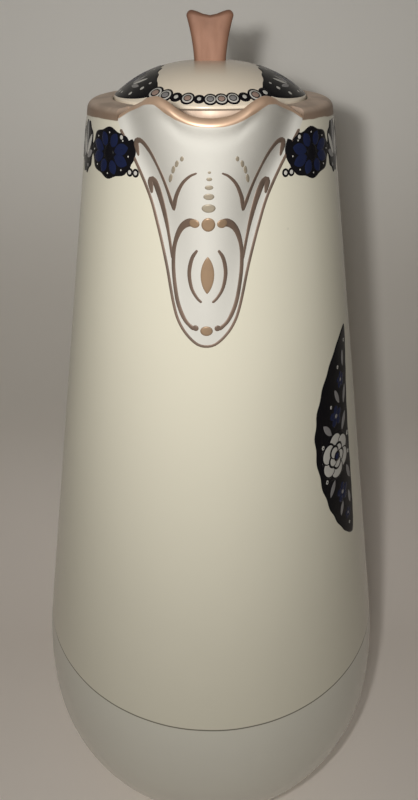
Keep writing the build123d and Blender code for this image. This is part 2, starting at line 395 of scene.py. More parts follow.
# The revolved wall, with the notch behind the beak cut out of it.
def buildPot(material):
    points, faces = revolve(potProfile(), pot["columns"])
    shell = finishMesh("potShell", points, faces, material, "pot")
    cutter = notchCutter()
    notch = shell.modifiers.new("notch", "BOOLEAN")
    notch.operation, notch.solver, notch.object = "DIFFERENCE", "EXACT", cutter
    bpy.context.view_layer.update()
    made = bpy.data.meshes.new_from_object(shell.evaluated_get(bpy.context.evaluated_depsgraph_get()))
    shell.modifiers.clear()
    old, shell.data = shell.data, made
    made.name = "potShell"
    bpy.data.meshes.remove(old)
    bpy.data.objects.remove(cutter)
    made.shade_smooth()
    made.set_sharp_from_angle(angle=radians(40))
    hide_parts("pot_body")


handle = {
    "top": 23.0, "bottom": 106.0, "reach": 33.9, "width": 9.6, "depth": 7.0, "bedded": 1.4,
    # the loop's middle knots, as shares of its reach and its span; how stout it is at shares of its length
    "form": [(0.80, 0.20), (1.55, 0.10), (1.35, -0.50), (1.20, -0.95)],
    "stoutAt": (0, 0.2, 0.55, 0.85, 1), "stoutness": (1.3, 1, 0.94, 0.94, 1.3),
    "rows": 150, "columns": 44, "samples": 600,
}


# Bezier loop from the upper joint to the lower one, as (out from the axis, up), with its tangents.
def handlePath(count):
    h = handle
    start, end = (wallPoint(pot["shoulderHeight"] - h[k]) for k in ("top", "bottom"))
    span = start[1] - end[1]
    knots = [(start[0] - h["bedded"], start[1])]
    knots += [(start[0] + out * h["reach"], start[1] + up * span) for out, up in h["form"]]
    knots = np.array(knots + [(end[0] - h["bedded"], end[1])])
    t = np.linspace(0, 1, count)[:, None]
    order = len(knots) - 1
    choose = np.array([comb(order, k) for k in range(order + 1)])
    k = np.arange(order + 1)
    path = (choose * t ** k * (1 - t) ** (order - k)) @ knots
    tangent = np.gradient(path, axis=0)
    return path, tangent / np.linalg.norm(tangent, axis=1, keepdims=True)


# Scale of the section along the loop: slimmest below the middle, swelling smoothly into both joints.
def handleStoutness(share):
    return monotone(handle["stoutAt"], handle["stoutness"], share)


# Ellipse sections square to the loop: around is the angle from its outer back, share the place along it.
def handleSurface(around, share):
    around, share = np.broadcast_arrays(np.asarray(around, float), np.asarray(share, float))
    path, tangent = handlePath(handle["samples"])
    grid = np.linspace(0, 1, handle["samples"])
    out, up, tOut, tUp = (np.interp(share, grid, v) for v in (*path.T, *tangent.T))
    stout = handleStoutness(share)
    side = handle["width"] / 2 * stout * np.sin(around)
    back = handle["depth"] / 2 * stout * np.cos(around)
    return np.stack([side, out + back * -tUp, up + back * tOut], -1)


# Sections along the loop, the first and last slid along it until they lie inside the wall.
def buildHandle(material):
    around = np.linspace(0, 2 * pi, handle["columns"], endpoint=False)
    share = np.linspace(0, 1, handle["rows"])
    points = handleSurface(around, share[:, None])
    for row, way in ((0, 1), (-1, -1)):
        slope = (points[row + way] - points[row])
        slope /= np.linalg.norm(slope, axis=1, keepdims=True)
        for _ in range(8):
            p = points[row]
            gap = np.hypot(p[:, 0], p[:, 1]) - (coneRadius(p[:, 2]) - handle["bedded"])
            points[row] = p - slope * gap[:, None]
    rows, columns = points.shape[:2]
    faces = gridFaces(rows, columns, aroundColumns=True)
    faces += [list(range(columns))[::-1], list(range((rows - 1) * columns, rows * columns))]
    piece = finishMesh("loopHandle", points, faces, material, "pot", sharp=50)
    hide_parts("handle")


lid = {
    "radius": 21.6, "edge": 2.0, "domeRise": 6.8, "fullness": 2.57, "lidWall": 2.6, "flangeRadius": 19.3,
    "flangeInner": 17.1, "flangeDepth": 8.0, "columns": 240,
    # the dome and the hollow stop short of their corners; the points of each
    "domeShort": 1.0, "hollowShort": 0.5, "domePoints": 40, "hollowPoints": 24,
    # each fillet's radius and number of points, from the dome's edge down round the flange
    "rounds": ((0.5, 6), (0.4, 4), (0.4, 4), (0.7, 5), (0.7, 5)),
}
seatHeight = pot["rimHeight"] - pot["seatDepth"]
crown = seatHeight + lid["edge"] + lid["domeRise"]
finial = {
    "footWidth": 6.9, "topWidth": 10.1, "footDepth": 4.6, "topDepth": 3.4, "height": 9.45, "notch": 0.99,
    "bed": 0.6, "round": 1.1, "roundDeep": 0.8, "rows": 44, "columns": 72,
    # exponent of its sections, how its width grows (straight, curved, power), and where the top sags
    "squareness": 5.0, "flare": (0.35, 0.65, 2.2), "sagFrom": 0.55, "sagWide": 0.85,
    "overRows": 9, "capRows": 7,
}


# Crown less the rise times (radius / lid radius) to a power: flatter on top than a parabola.
def domeHeight(radius):
    return crown - lid["domeRise"] * (np.minimum(radius, lid["radius"]) / lid["radius"]) ** lid["fullness"]


def buildLid(material):
    radius, outer, inner = lid["radius"], lid["flangeRadius"], lid["flangeInner"]
    low = seatHeight - lid["flangeDepth"]
    radii = np.linspace(0, radius - lid["domeShort"], lid["domePoints"])
    inward = np.linspace(inner - lid["hollowShort"], 0, lid["hollowPoints"])
    dome = np.stack([radii, domeHeight(radii)], -1)
    hollow = np.stack([inward, domeHeight(inward) - lid["lidWall"]], -1)
    corners = [tuple(dome[-1]), (radius, domeHeight(radius)), (radius, seatHeight), (outer, seatHeight),
               (outer, low), (inner, low), (inner, seatHeight)]
    profile = np.vstack([dome, roundedChain(corners, lid["rounds"]), hollow])
    points, faces = revolve(profile[::-1], lid["columns"])
    piece = finishMesh("domedLid", points, faces, material, "lid", sharp=40)
    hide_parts("lid")


# Rounded-box sections stacked upwards: |x/a|^n + |y/b|^n = 1, the top row sagging between the two horns.
def buildFinial(material):
    f = finial
    up = np.linspace(0, 1, f["rows"])
    turn = np.linspace(0, 2 * pi, f["columns"], endpoint=False)
    unitX, unitY = (np.sign(v) * np.abs(v) ** (2 / f["squareness"]) for v in (np.cos(turn), np.sin(turn)))
    total = f["bed"] + f["height"]
    straight, curved, power = f["flare"]
    grown = straight * up + curved * up ** power
    halfWide = f["footWidth"] / 2 + (f["topWidth"] - f["footWidth"]) / 2 * grown
    halfDeep = f["footDepth"] / 2 + (f["topDepth"] - f["footDepth"]) / 2 * up
    over, fills = np.linspace(0, pi / 2, f["overRows"]), np.linspace(1, 0, f["capRows"])[1:]
    inset = f["round"] * (1 - np.cos(over))
    heights = np.append(up[:-1] * (total - f["round"]), total - f["round"] * (1 - np.sin(over)))
    heights = np.append(heights, np.full(len(fills), heights[-1]))
    wide = np.append(halfWide[:-1], halfWide[-1] - inset)
    deep = np.append(halfDeep[:-1], halfDeep[-1] - inset * f["roundDeep"])
    x, y = (np.append(v, v[-1] * fills)[:, None] * unit for v, unit in ((wide, unitX), (deep, unitY)))
    sag = np.clip((heights / total - f["sagFrom"]) / (1 - f["sagFrom"]), 0, 1)[:, None] ** 2 * f["notch"]
    across = np.clip(np.abs(x) / (f["topWidth"] / 2) / f["sagWide"], 0, 1)
    z = crown - f["bed"] + heights[:, None] - sag * (np.cos(pi * across) + 1) / 2
    points = np.stack([x, y, z], -1)
    faces = gridFaces(*points.shape[:2], aroundColumns=True) + [list(range(f["columns"]))[::-1]]
    piece = finishMesh("gildedFinial", points, faces, material, "lid", sharp=60)
    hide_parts("finial")


laid = {
    # millimetres that a coat reaches into the surface, lies above it by layers, and swells in its middle
    "sink": 0.12, "lift": 0.03, "crown": 0.05,
    # a stroke's half width at full swell and its section; a spot's rounded edge and the step of its rings
    "fullHalf": 0.5, "section": [(-1, -1), (-1, 0), (-0.55, 0.75), (0, 1), (0.55, 0.75), (1, 0), (1, -1)],
    "spread": 0.65, "edge": 0.35, "mostEdge": 0.3, "ringStep": 1.1, "step": 0.02,
}


# Places flat points on a surface and lifts them along its normal, the cross product of two small steps.
def layOn(surface, across, up, height, upStep):
    here, step = surface(across, up), laid["step"]
    normal = np.cross(surface(across + step, up) - here, surface(across, up + upStep) - here)
    normal /= np.maximum(np.linalg.norm(normal, axis=-1, keepdims=True), 1e-12)
    return here + normal * np.asarray(height)[..., None]


# Brush stroke: a crowned ribbon along a smooth line, its width running between given ones, with round ends.
def stroke(points, widths, layer=0, closed=False, density=5):
    count = max(int(density * len(points)), 8)
    path = smoothLine(points, count, closed)
    along = np.linspace(0, 1, count, endpoint=not closed)
    width = np.interp(along, np.linspace(0, 1, len(np.atleast_1d(widths))), np.atleast_1d(widths))
    if closed:
        tangent = np.roll(path, -1, 0) - np.roll(path, 1, 0)
        half = width / 2
    else:
        length = np.concatenate([[0], np.cumsum(np.linalg.norm(np.diff(path, axis=0), axis=1))])
        eased = 0.5 - 0.5 * np.cos(pi * along)
        where = length[-1] * ((1 - laid["spread"]) * along + laid["spread"] * eased)
        path = np.stack([np.interp(where, length, path[:, k]) for k in (0, 1)], -1)
        tangent = np.gradient(path, axis=0)
        fromEnd = np.minimum(where, length[-1] - where)
        half = np.sqrt(np.maximum((width / 2) ** 2 - np.maximum(width / 2 - fromEnd, 0) ** 2, 1e-6))
    tangent = tangent / np.maximum(np.linalg.norm(tangent, axis=1, keepdims=True), 1e-9)
    side = np.stack([tangent[:, 1], -tangent[:, 0]], -1)
    section = np.array(laid["section"])
    base = laid["lift"] * (1 + layer)
    crowned = laid["crown"] * np.minimum(half / laid["fullHalf"], 1)
    flat = path[:, None] + side[:, None] * (half[:, None, None] * section[None, :, :1])
    height = np.where(section[:, 1] < 0, -laid["sink"], base + crowned[:, None] * np.maximum(section[:, 1], 0))
    columns = len(section)
    faces = gridFaces(count, columns, aroundRows=closed, aroundColumns=True)
    if not closed:
        faces += [list(range(columns)), list(range((count - 1) * columns, count * columns))[::-1]]
    return flat.reshape(-1, 2), height.ravel(), faces


# Crowned spot whose edge is a function of the angle: rings close together, so that it follows a curved wall.
def blob(centre, outline, layer=0, count=24):
    turn = np.linspace(0, 2 * pi, count, endpoint=False)
    edge = outline(turn)
    size = np.linalg.norm(edge, axis=1).max()
    inner = 1 - min(laid["edge"] / size, laid["mostEdge"])
    shares = np.append(1.0, np.linspace(inner, 0, max(3, int(np.ceil(size / laid["ringStep"])) + 1)))
    rings = np.append([0.0, 1.0], shares)
    rise = np.sqrt(np.clip((1 - shares) * size / laid["edge"], 0, 1))
    height = np.concatenate([[-laid["sink"]] * 2, laid["lift"] * (1 + layer) + laid["crown"] * rise])
    flat = np.asarray(centre, float) + rings[:, None, None] * edge
    faces = gridFaces(len(rings), count, aroundColumns=True)
    return flat.reshape(-1, 2), np.repeat(height, count), faces


def tilted(x, y, tilt):
    return np.stack([x * cos(tilt) - y * sin(tilt), x * sin(tilt) + y * cos(tilt)], -1)


# Outline of a spot: an ellipse with scallops round it, turned by a tilt.
def oval(wide, tall=None, tilt=0.0, scallops=0, depth=0.0):
    def edge(turn):
        ripple = 1 + depth * np.cos(scallops * turn)
        return tilted(wide * np.cos(turn) * ripple, (tall or wide) * np.sin(turn) * ripple, tilt)

    return edge


# Pointed leaf outline from its middle: the half width falls as the squared cosine towards both tips.
def almond(length, width, tilt=0.0):
    def edge(turn):
        beside = np.sin(turn)
        return tilted(np.sign(beside) * width / 2 * np.abs(beside) ** 1.6, np.cos(turn) * length / 2, tilt)

    return edge


# Points round an ellipse, for a closed stroke.
def ringPoints(wide, tall, up, count):
    return [(wide * sin(a), up + tall * cos(a)) for a in np.linspace(0, 2 * pi, count, endpoint=False)]


# The fine vein of a leaf that leans by a turn, between shares of its length.
def vein(place, turn, length, shares):
    points = [(place[0] + sin(turn) * k * length, place[1] + cos(turn) * k * length) for k in shares]
    return stroke(points, [0.12, 0.34, 0.1], 2, density=4)


def flipped(shape):
    flat, height, faces = shape
    return flat * np.array([-1, 1]), height, [f[::-1] for f in faces]


def bothSides(shapes):
    return [side for shape in shapes for side in (shape, flipped(shape))]


# One mesh piece of laid shapes, each given by its points and its faces.
def joinPiece(name, parts, material, body):
    starts = np.cumsum([0] + [len(points) for points, _ in parts])
    faces = [[v + int(start) for v in quad] for (_, quads), start in zip(parts, starts) for quad in quads]
    return finishMesh(name, np.vstack([points for points, _ in parts]), faces, material, body)


def layShape(shape, surface, upStep=laid["step"]):
    flat, height, faces = shape
    return layOn(surface, flat[:, 0], flat[:, 1], height, upStep), faces


gilding = {
    "edge": 0.62, "edgeStart": 178.1, "edgeLength": 42.0, "edgePoints": 14,
    "upperLeaf": [(14.2, 215.6), (14.6, 218.2), (13.3, 218.6), (11.4, 216.8), (9.4, 213.2), (7.9, 209.6),
                  (6.9, 206.5)],
    "upperLeafWidths": [0.3, 1.1, 0.9, 0.6, 0.65, 0.8, 0.35],
    "innerLeaf": [(6.9, 206.5), (6.4, 209.4), (5.2, 212.3), (3.7, 214.1), (2.3, 214.9)],
    "innerLeafWidths": [0.4, 0.8, 0.65, 0.5, 0.3],
    "lowerLeaf": [(11.5, 208.9), (11.7, 211.3), (10.8, 211.3), (9.6, 208.2), (8.6, 204.4), (7.9, 200.6),
                  (7.3, 196.5)],
    "lowerLeafWidths": [0.4, 1.2, 1.3, 1.0, 0.65, 0.6, 0.5],
    "frame": [(1.9, 204.6), (3.7, 204.9), (5.5, 203.2), (6.8, 199.5), (7.1, 195.4), (6.8, 191.2), (6.1, 187.2),
              (4.7, 183.9), (3.1, 182.3), (2.5, 182.3)],
    "frameWidths": [1.7, 1.7, 1.1, 0.8, 0.8, 0.8, 0.85, 0.9, 0.8, 1.1],
    "bracket": [(2.1, 199.4), (3.2, 197.4), (3.75, 194.3), (3.3, 191.2), (2.2, 189.2), (1.1, 188.1)],
    "bracketWidths": [0.45, 0.7, 0.8, 0.75, 0.65, 0.5],
    # sideways place, height and size of the dashes, beads and spots
    "sideDashes": [(7.4, 213.0, 1.9), (6.8, 214.9, 1.7), (6.1, 216.2, 1.4), (5.1, 217.3, 1.0)],
    "midDashes": [(208.1, 1.35, 0.85), (210.4, 1.05, 0.62), (212.2, 0.8, 0.45), (213.8, 0.55, 0.35),
                  (215.1, 0.3, 0.25)],
    "dashWide": 0.34, "dashTilt": 14, "hookBeads": (2.35, 182.25, 0.66), "frameEnds": (2.75, 204.85, 1.05, 0.88),
    "spots": [(204.8, 1.35, 1.4), (181.7, 1.35, 1.1)], "almond": (194.1, 8.0, 2.8),
}


# The beak's surface in coordinates that follow its leaning middle line.
def leaned(across, height):
    return frontPoint(across + leanAngle(height) * beakRadius(0, height), height)


def buildGilding(materials):
    g = gilding
    heights = np.linspace(0, 1, g["edgePoints"])[:0:-1] ** 2 * g["edgeLength"] + g["edgeStart"]
    heights = np.append(heights, g["edgeStart"])
    right = [(float(halfWidth(h)) if h > g["edgeStart"] else 0.0, float(h)) for h in heights]
    lines = [stroke(right + [(-x, h) for x, h in right[-2::-1]], g["edge"], density=6)]
    lines += bothSides(stroke(g[name], g[name + "Widths"], density=7)
                       for name in ("upperLeaf", "innerLeaf", "lowerLeaf", "frame", "bracket"))
    across, up, size = g["hookBeads"]
    lines += [blob((side * across, up), oval(size), count=16) for side in (1, -1)]
    dashes = [blob((0, up), oval(wide, tall), count=16) for up, wide, tall in g["midDashes"]]
    dashes += bothSides(blob((x, up), oval(g["dashWide"], tall / 2, radians(g["dashTilt"])), count=14)
                        for x, up, tall in g["sideDashes"])
    spots = [blob((0, up), oval(wide, tall), 1) for up, wide, tall in g["spots"]]
    spots += [blob((0, g["almond"][0]), almond(*g["almond"][1:]), count=32)]
    across, up, wide, tall = g["frameEnds"]
    spots += [blob((side * across, up), oval(wide, tall), 1, 20) for side in (1, -1)]
    for name, shapes, material in zip(("beakLines", "beakDashes", "beakSpots"), (lines, dashes, spots), materials):
        joinPiece(name, [layShape(shape, leaned) for shape in shapes], material, "pot")


border = {
    "middle": 215.2, "flowers": 7, "firstFlower": 47.0, "flowerWide": 7.1, "flowerTall": 4.8, "petals": 8,
    "ring": 1.1, "leafWide": 4.4, "leafTall": 5.3, "endBeside": 12.9,
    # lean and length of the palmette's leaves; the pearls that close the border beside the beak
    "leaves": ((-64, 3.9), (-32, 5.6), (0, 7.0), (32, 5.6), (64, 3.9)),
    "endPearls": ((-1.5, -2.9), (0.0, -2.9), (2.6, 3.4)), "endPearl": (0.85, 0.5),
    # across, up, half sizes and tilt of the end's leaf and of the spot below it
    "endLeaf": (0.6, 0.4, 6.6, 3.6, 24), "endSpot": (1.7, -1.2, 2.0, 1.7),
    # shares of the flower's size: its petals, the lines in them and the beads round its edge; then millimetres
    "petalFar": 0.58, "petalLength": 1.1, "petalWide": 2.5, "lineAt": (0.62, 1.0, 1.4),
    "lineWidths": (0.14, 0.42, 0.14), "beadFar": (0.84, 0.82), "bead": 0.24, "heart": (1.45, 1.65),
    "ringTall": 1.2, "ringWidth": 0.32,
    # scallops of the flower's and the palmette's ground, and how deep they are
    "scallops": (8, 10), "scallopDepth": 0.05, "leafDown": 0.3, "rootDown": 2.6, "rootFar": 0.7, "leafThin": 1.55,
    "veinAt": (-0.3, 0, 0.32), "rootPearls": (1.7, 3.9, 0.5), "rootRing": (0.6, 3.7, 0.3),
}


# Coordinates on the wall round a meridian: across is the distance round, up the height.
def onWall(round0):
    def surface(across, up):
        angle = round0 + across / wallRadius(up)
        radius = wallRadius(up)
        return np.stack([radius * np.sin(angle), -radius * np.cos(angle), up + 0 * radius], -1)

    return surface


# Scalloped black ground, a wheel of deep blue petals, and a pale ring round its heart.
def flowerMotif():
    b = border
    up, ring, petals, wide, tall = (b[key] for key in ("middle", "ring", "petals", "flowerWide", "flowerTall"))
    black = [blob((0, up), oval(wide, tall, scallops=b["scallops"][0], depth=b["scallopDepth"]), 0, 64)]
    blue, pale, ink = [], [], []
    for k in range(petals):
        turn, spot = 2 * pi * (k + 0.5) / petals, 2 * pi * k / petals
        x, y = sin(turn) * wide * b["petalFar"], cos(turn) * tall * b["petalFar"]
        petal = almond(hypot(x, y) * b["petalLength"], b["petalWide"], -atan2(x, y))
        blue.append(blob((x, up + y), petal, 1, 22))
        ink.append(stroke([(x * far, up + y * far) for far in b["lineAt"]], b["lineWidths"], 2, density=4))
        bead = sin(spot) * wide * b["beadFar"][0], up + cos(spot) * tall * b["beadFar"][1]
        pale.append(blob(bead, oval(b["bead"]), 1, 10))
    ink.append(blob((0, up), oval(ring * b["heart"][0], ring * b["heart"][1]), 2, 24))
    pale.append(stroke(ringPoints(ring, b["ringTall"] * ring, up, 12), b["ringWidth"], 3, closed=True, density=2))
    return {"black": black, "blue": blue, "pale": pale, "ink": ink}


# Palmette on black: leaves fan up from a ring, between two pearls. It fills between two flowers.
def leafMotif():
    b = border
    up, (side, low, size), (ring, down, width) = b["middle"], b["rootPearls"], b["rootRing"]
    ground = oval(b["leafWide"], b["leafTall"], scallops=b["scallops"][1], depth=b["scallopDepth"])
    black = [blob((0, up - b["leafDown"]), ground, 0, 60)]
    pale, grey, ink = [], [], []
    for lean, length in b["leaves"]:
        turn, far = radians(lean), length / 2 + b["rootFar"]
        place = (sin(turn) * far, up - b["rootDown"] + cos(turn) * far)
        (pale if lean % 64 else grey).append(blob(place, almond(length, b["leafThin"], -turn), 1, 24))
        ink.append(vein(place, turn, length, b["veinAt"]))
    grey += [blob((x, up - low), oval(size), 1, 14) for x in (side, -side)]
    pale.append(stroke(ringPoints(ring, ring, up - down, 10), width, 1, closed=True, density=2))
    return {"black": black, "pale": pale, "grey": grey, "ink": ink}


# What closes the border beside the beak: a dark leaf pointing in to it and three outlined pearls.
def endMotif():
    up, pearls, (outline, pearl) = border["middle"], border["endPearls"], border["endPearl"]
    (x, y, length, width, tilt), (spotX, spotY, wide, tall) = border["endLeaf"], border["endSpot"]
    black = [blob((x, up + y), almond(length, width, radians(tilt)), 0, 30),
             blob((spotX, up + spotY), oval(wide, tall), 0, 26)]
    black += [blob((x, up + y), oval(outline), 0, 16) for x, y in pearls]
    return {"black": black, "pale": [blob((x, up + y), oval(pearl), 1, 14) for x, y in pearls]}


# Lays a motif's shapes and adds them, by colour, to a store.
def gather(store, motif, surface):
    for colour, shapes in motif.items():
        store.setdefault(colour, []).extend(layShape(shape, surface) for shape in shapes)


def joinStore(store, prefix, materials, body):
    for colour, parts in store.items():
        joinPiece(prefix + colour.capitalize(), parts, materials[colour], body)


# Flowers spaced evenly from one side of the beak round the back to the other, leaves between them.
def buildBorder(materials):
    b = border
    store = {}
    first = radians(b["firstFlower"])
    step = (2 * pi - 2 * first) / (b["flowers"] - 1)
    flower, leaf, end = flowerMotif(), leafMotif(), endMotif()
    for k in range(b["flowers"]):
        gather(store, flower, onWall(first + k * step))
        if k < b["flowers"] - 1:
            gather(store, leaf, onWall(first + (k + 0.5) * step))
    beside = first - radians(b["endBeside"])
    gather(store, end, onWall(beside))
    gather(store, {colour: [flipped(shape) for shape in shapes] for colour, shapes in end.items()}, onWall(-beside))
    joinStore(store, "border", materials, "pot")


medallion = {
    "middle": 147.0, "places": (55.7, 235.7), "left": 11.7, "right": 4.5, "above": 27.0, "below": 34.0,
    "topLean": 6.2, "bottomLean": 3.3, "rose": 6.1, "roseAt": (-3.6, -5.2),
    # across and up from the middle, then each bloom's size, each leaf's length, width and tilt, each pearl's size
    "blooms": ((-2.2, 5.6, 2.9), (1.4, 14.2, 2.2), (-1.4, -17.6, 3.0), (1.0, -26.0, 1.8)),
    "leaves": ((-6.6, 3.4, 5.2, 1.9, 38), (1.6, 2.6, 5.4, 1.9, -30), (-1.2, 10.6, 5.0, 1.7, 24),
               (3.0, 9.6, 5.2, 1.6, -18), (3.4, 19.2, 4.6, 1.4, -6), (-6.2, -14.0, 5.2, 1.8, 148),
               (2.6, -13.4, 5.6, 1.8, -160), (-2.4, -22.4, 4.6, 1.6, 160), (2.4, -21.4, 4.8, 1.5, -170)),
    "pearls": ((-8.9, -0.4, 0.6), (3.6, -2.2, 0.7), (3.4, -7.6, 0.6), (-9.6, -4.6, 0.5), (-8.4, -10.8, 0.6),
               (5.1, 23.2, 0.5), (-4.4, 9.0, 0.5), (1.5, -29.6, 0.5), (0.2, 18.0, 0.5)),
    # depth and number of the panel's ripples, and the power that shapes its sides; a pearl's height and eye
    "ripple": (0.02, 26), "power": 1.25, "pearlTall": 1.2, "pearlEye": (0.4, 0.5), "veinAt": (-0.32, 0, 0.34),
}
blooms = {
    # the rose as shares of its size: ground, and each wheel's petals, how far out, how long and wide, lowest layer
    "ground": 1.1, "scallops": 6, "depth": 0.04, "wheels": ((6, 0.66, 0.80, 0.92, 1), (5, 0.30, 0.56, 0.56, 6)),
    "petalStep": 0.8, "outline": 0.34, "creamOver": 0.4, "heart": 0.24, "heartSpot": 0.17,
    # the small bloom: its petals, how far out, half sizes and eye
    "petals": 5, "far": 0.6, "petal": (0.4, 0.46), "eye": 0.2,
}


# Leaning leaf: up = tall cos a, across = width |sin a| to a power, wide to the left and nearly straight right.
def panelOutline(turn):
    m = medallion
    c, s = np.cos(turn), np.sin(turn)
    depth, ripples = m["ripple"]
    ripple = 1 + depth * np.cos(ripples * turn)
    across = np.where(s > 0, m["right"], -m["left"]) * np.abs(s) ** m["power"] * ripple
    lean = np.where(c > 0, m["topLean"], m["bottomLean"]) * c ** 2
    return np.stack([across + lean, np.where(c > 0, m["above"], m["below"]) * c], -1)[::-1]


# Outlined cream petals in two wheels round a dark heart with a blue spot; each petal laps over the one before.
def rose(across, up, size):
    b = blooms
    ink = [blob((across, up), oval(size * b["ground"], scallops=b["scallops"], depth=b["depth"]), 1, 60)]
    cream = []
    for count, far, length, width, layer in b["wheels"]:
        for k in range(count):
            turn = 2 * pi * (k + 0.5 * (layer > 1)) / count
            place = (across + sin(turn) * size * far, up + cos(turn) * size * far)
            wide, tall, above = size * width / 2, size * length / 2, layer + b["petalStep"] * k
            ink.append(blob(place, oval(wide + b["outline"], tall + b["outline"], -turn), above, 28))
            cream.append(blob(place, oval(wide, tall, -turn), above + b["creamOver"], 28))
    ink.append(blob((across, up), oval(size * b["heart"]), 11, 24))
    return {"ink": ink, "cream": cream, "blue": [blob((across, up), oval(size * b["heartSpot"]), 12, 20)]}


# Blue petals with a grey eye.
def smallBloom(across, up, size):
    b = blooms
    (wide, tall), far = b["petal"], b["far"]
    blue = []
    for a in np.linspace(0, 2 * pi, b["petals"], endpoint=False):
        place = across + sin(a) * size * far, up + cos(a) * size * far
        blue.append(blob(place, oval(size * wide, size * tall, -a), 1, 20))
    return {"blue": blue, "grey": [blob((across, up), oval(size * b["eye"]), 2, 14)]}


# Black panel with a cream rose in its middle, blue blooms and grey leaves above and below, and pearls.
def medallionMotif():
    m = medallion
    up = m["middle"]
    parts = {"black": [blob((0, up), panelOutline, 0, 208)], "cream": [], "grey": [], "blue": [], "ink": []}
    for x, y, length, width, tilt in m["leaves"]:
        turn = radians(tilt)
        parts["grey"].append(blob((x, up + y), almond(length, width, turn), 1, 26))
        parts["ink"].append(vein((x, up + y), -turn, length, m["veinAt"]))
    for x, y, size in m["pearls"]:
        parts["cream"].append(blob((x, up + y), oval(size, size * m["pearlTall"]), 1, 18))
        parts["ink"].append(blob((x, up + y), oval(*(size * share for share in m["pearlEye"])), 2, 12))
    flowers = [rose(m["roseAt"][0], up + m["roseAt"][1], m["rose"])]
    flowers += [smallBloom(x, up + y, size) for x, y, size in m["blooms"]]
    for flower in flowers:
        for colour, shapes in flower.items():
            parts[colour] += shapes
    return parts


def buildMedallions(materials):
    store = {}
    motif = medallionMotif()
    for place in medallion["places"]:
        gather(store, motif, onWall(radians(place)))
    joinStore(store, "cheek", materials, "pot")


lidBorder = {
    # clusters stand beside the knob, with a chain of rings (middle, half, count) in front and one behind
    "clusters": (84.0, -84.0), "clusterRadius": 16.0, "clusterHalf": 13.2, "clusterBase": -1.9, "clusterRise": 7.3,
    "clusterDrop": 3.5, "chains": ((0.0, 36.0, 11), (180.0, 46.0, 13)), "chainRadius": 20.1, "chainDrift": 1.0,
    "linkGrowth": 0.3, "linkKinds": (0, 1, 2, 0, 2, 1),
    # lean and length of each palmette's leaves; sideways place, height and size of the pearls
    "leaves": ((-78, 2.6), (-38, 3.4), (0, 3.9), (38, 3.4)),
    "pearls": ((1.8, -4.3, 0.42), (3.6, -4.2, 0.36), (7.4, -4.0, 0.46), (9.3, -2.4, 0.5), (2.6, 3.4, 0.4),
               (10.1, -0.9, 0.36)),
    "middlePearls": ((-4.4, 0.5), (4.0, 0.42)), "clusterRipple": (0.055, 16), "clusterFlat": 0.4,
    # the cluster's flower: height, petals, how far out, length and width; its heart and ring
    "heart": -0.3, "petals": (7, 1.9, 2.6, 1.5), "heartSize": 1.0, "ring": (0.62, 0.26),
    # a palmette: where its root is, how far its leaves start from it, their width and the lean of the middle
    "root": (4.2, -2.2), "rootFar": 0.3, "leafThin": 1.0, "lean": 52,
    # a bead's and a ring's coats from the lowest up: half width, half height and points; how links bunch up
    "beadCoats": ((1.15, 0.95, 22), (0.5, 0.46, 14)),
    "ringCoats": ((1.42, 1.26, 24), (1.2, 1.04, 22), (0.92, 0.76, 18), (0.72, 0.55, 16)), "bunching": 0.14,
}


# Coordinates on the lid: across is the distance round at the middle radius, up runs in towards the crown.
def onDome(round0, middle):
    def surface(across, up):
        angle = round0 + across / middle
        radius = middle - up
        return np.stack([radius * np.sin(angle), -radius * np.cos(angle), domeHeight(radius)], -1)

    return surface


# One link: a thinly outlined pale ring round a dark ring with a blush or grey eye, or a bead that joins two rings.
def chainLink(kind, size):
    coats = lidBorder["beadCoats" if kind == 2 else "ringCoats"]
    names = ("black", "pale", "ink", ("blush", "grey", "")[kind])
    return {name: [blob((0, 0), oval(wide * size, tall * size), layer, count)]
            for layer, (name, (wide, tall, count)) in enumerate(zip(names, coats))}


# Patch on the lid's edge: across = half width sin a, the inner side a low parabola, the outer side nearly flat.
def clusterOutline(turn):
    l = lidBorder
    c, s = np.cos(turn), np.sin(turn)
    depth, ripples = l["clusterRipple"]
    inner = l["clusterRise"] * c ** 2 * (1 + depth * np.cos(ripples * turn))
    outer = -l["clusterDrop"] * np.abs(c) ** l["clusterFlat"]
    return np.stack([l["clusterHalf"] * s, l["clusterBase"] + np.where(c > 0, inner, outer)], -1)[::-1]


# A dark patch with a blue flower between two palmettes, pearls along the lid's edge.
def lidCluster():
    l = lidBorder
    heart, (petals, out, long, wide), (ring, width) = l["heart"], l["petals"], l["ring"]
    (rootX, rootY), blue, pale = l["root"], [], []
    for turn in 2 * pi * np.arange(petals) / petals:
        blue.append(blob((sin(turn) * out, heart + cos(turn) * out), almond(long, wide, -turn), 1, 20))
    grey = [stroke(ringPoints(ring, ring, heart, 9), width, 3, closed=True, density=2)]
    for side in (1, -1):
        for lean, length in l["leaves"]:
            turn, far = side * radians(l["lean"] + lean), length / 2 + l["rootFar"]
            place = (side * rootX + sin(turn) * far, rootY + cos(turn) * far)
            (grey if lean % 76 else pale).append(blob(place, almond(length, l["leafThin"], -turn), 1, 20))
        pale += [blob((side * x, y), oval(size), 1, 12) for x, y, size in l["pearls"]]
    pale += [blob((0, y), oval(size), 1, 12) for y, size in l["middlePearls"]]
    return {"black": [blob((0, 0), clusterOutline, 0, 110)], "blue": blue, "pale": pale, "grey": grey,
            "ink": [blob((0, heart), oval(l["heartSize"]), 2, 18)]}


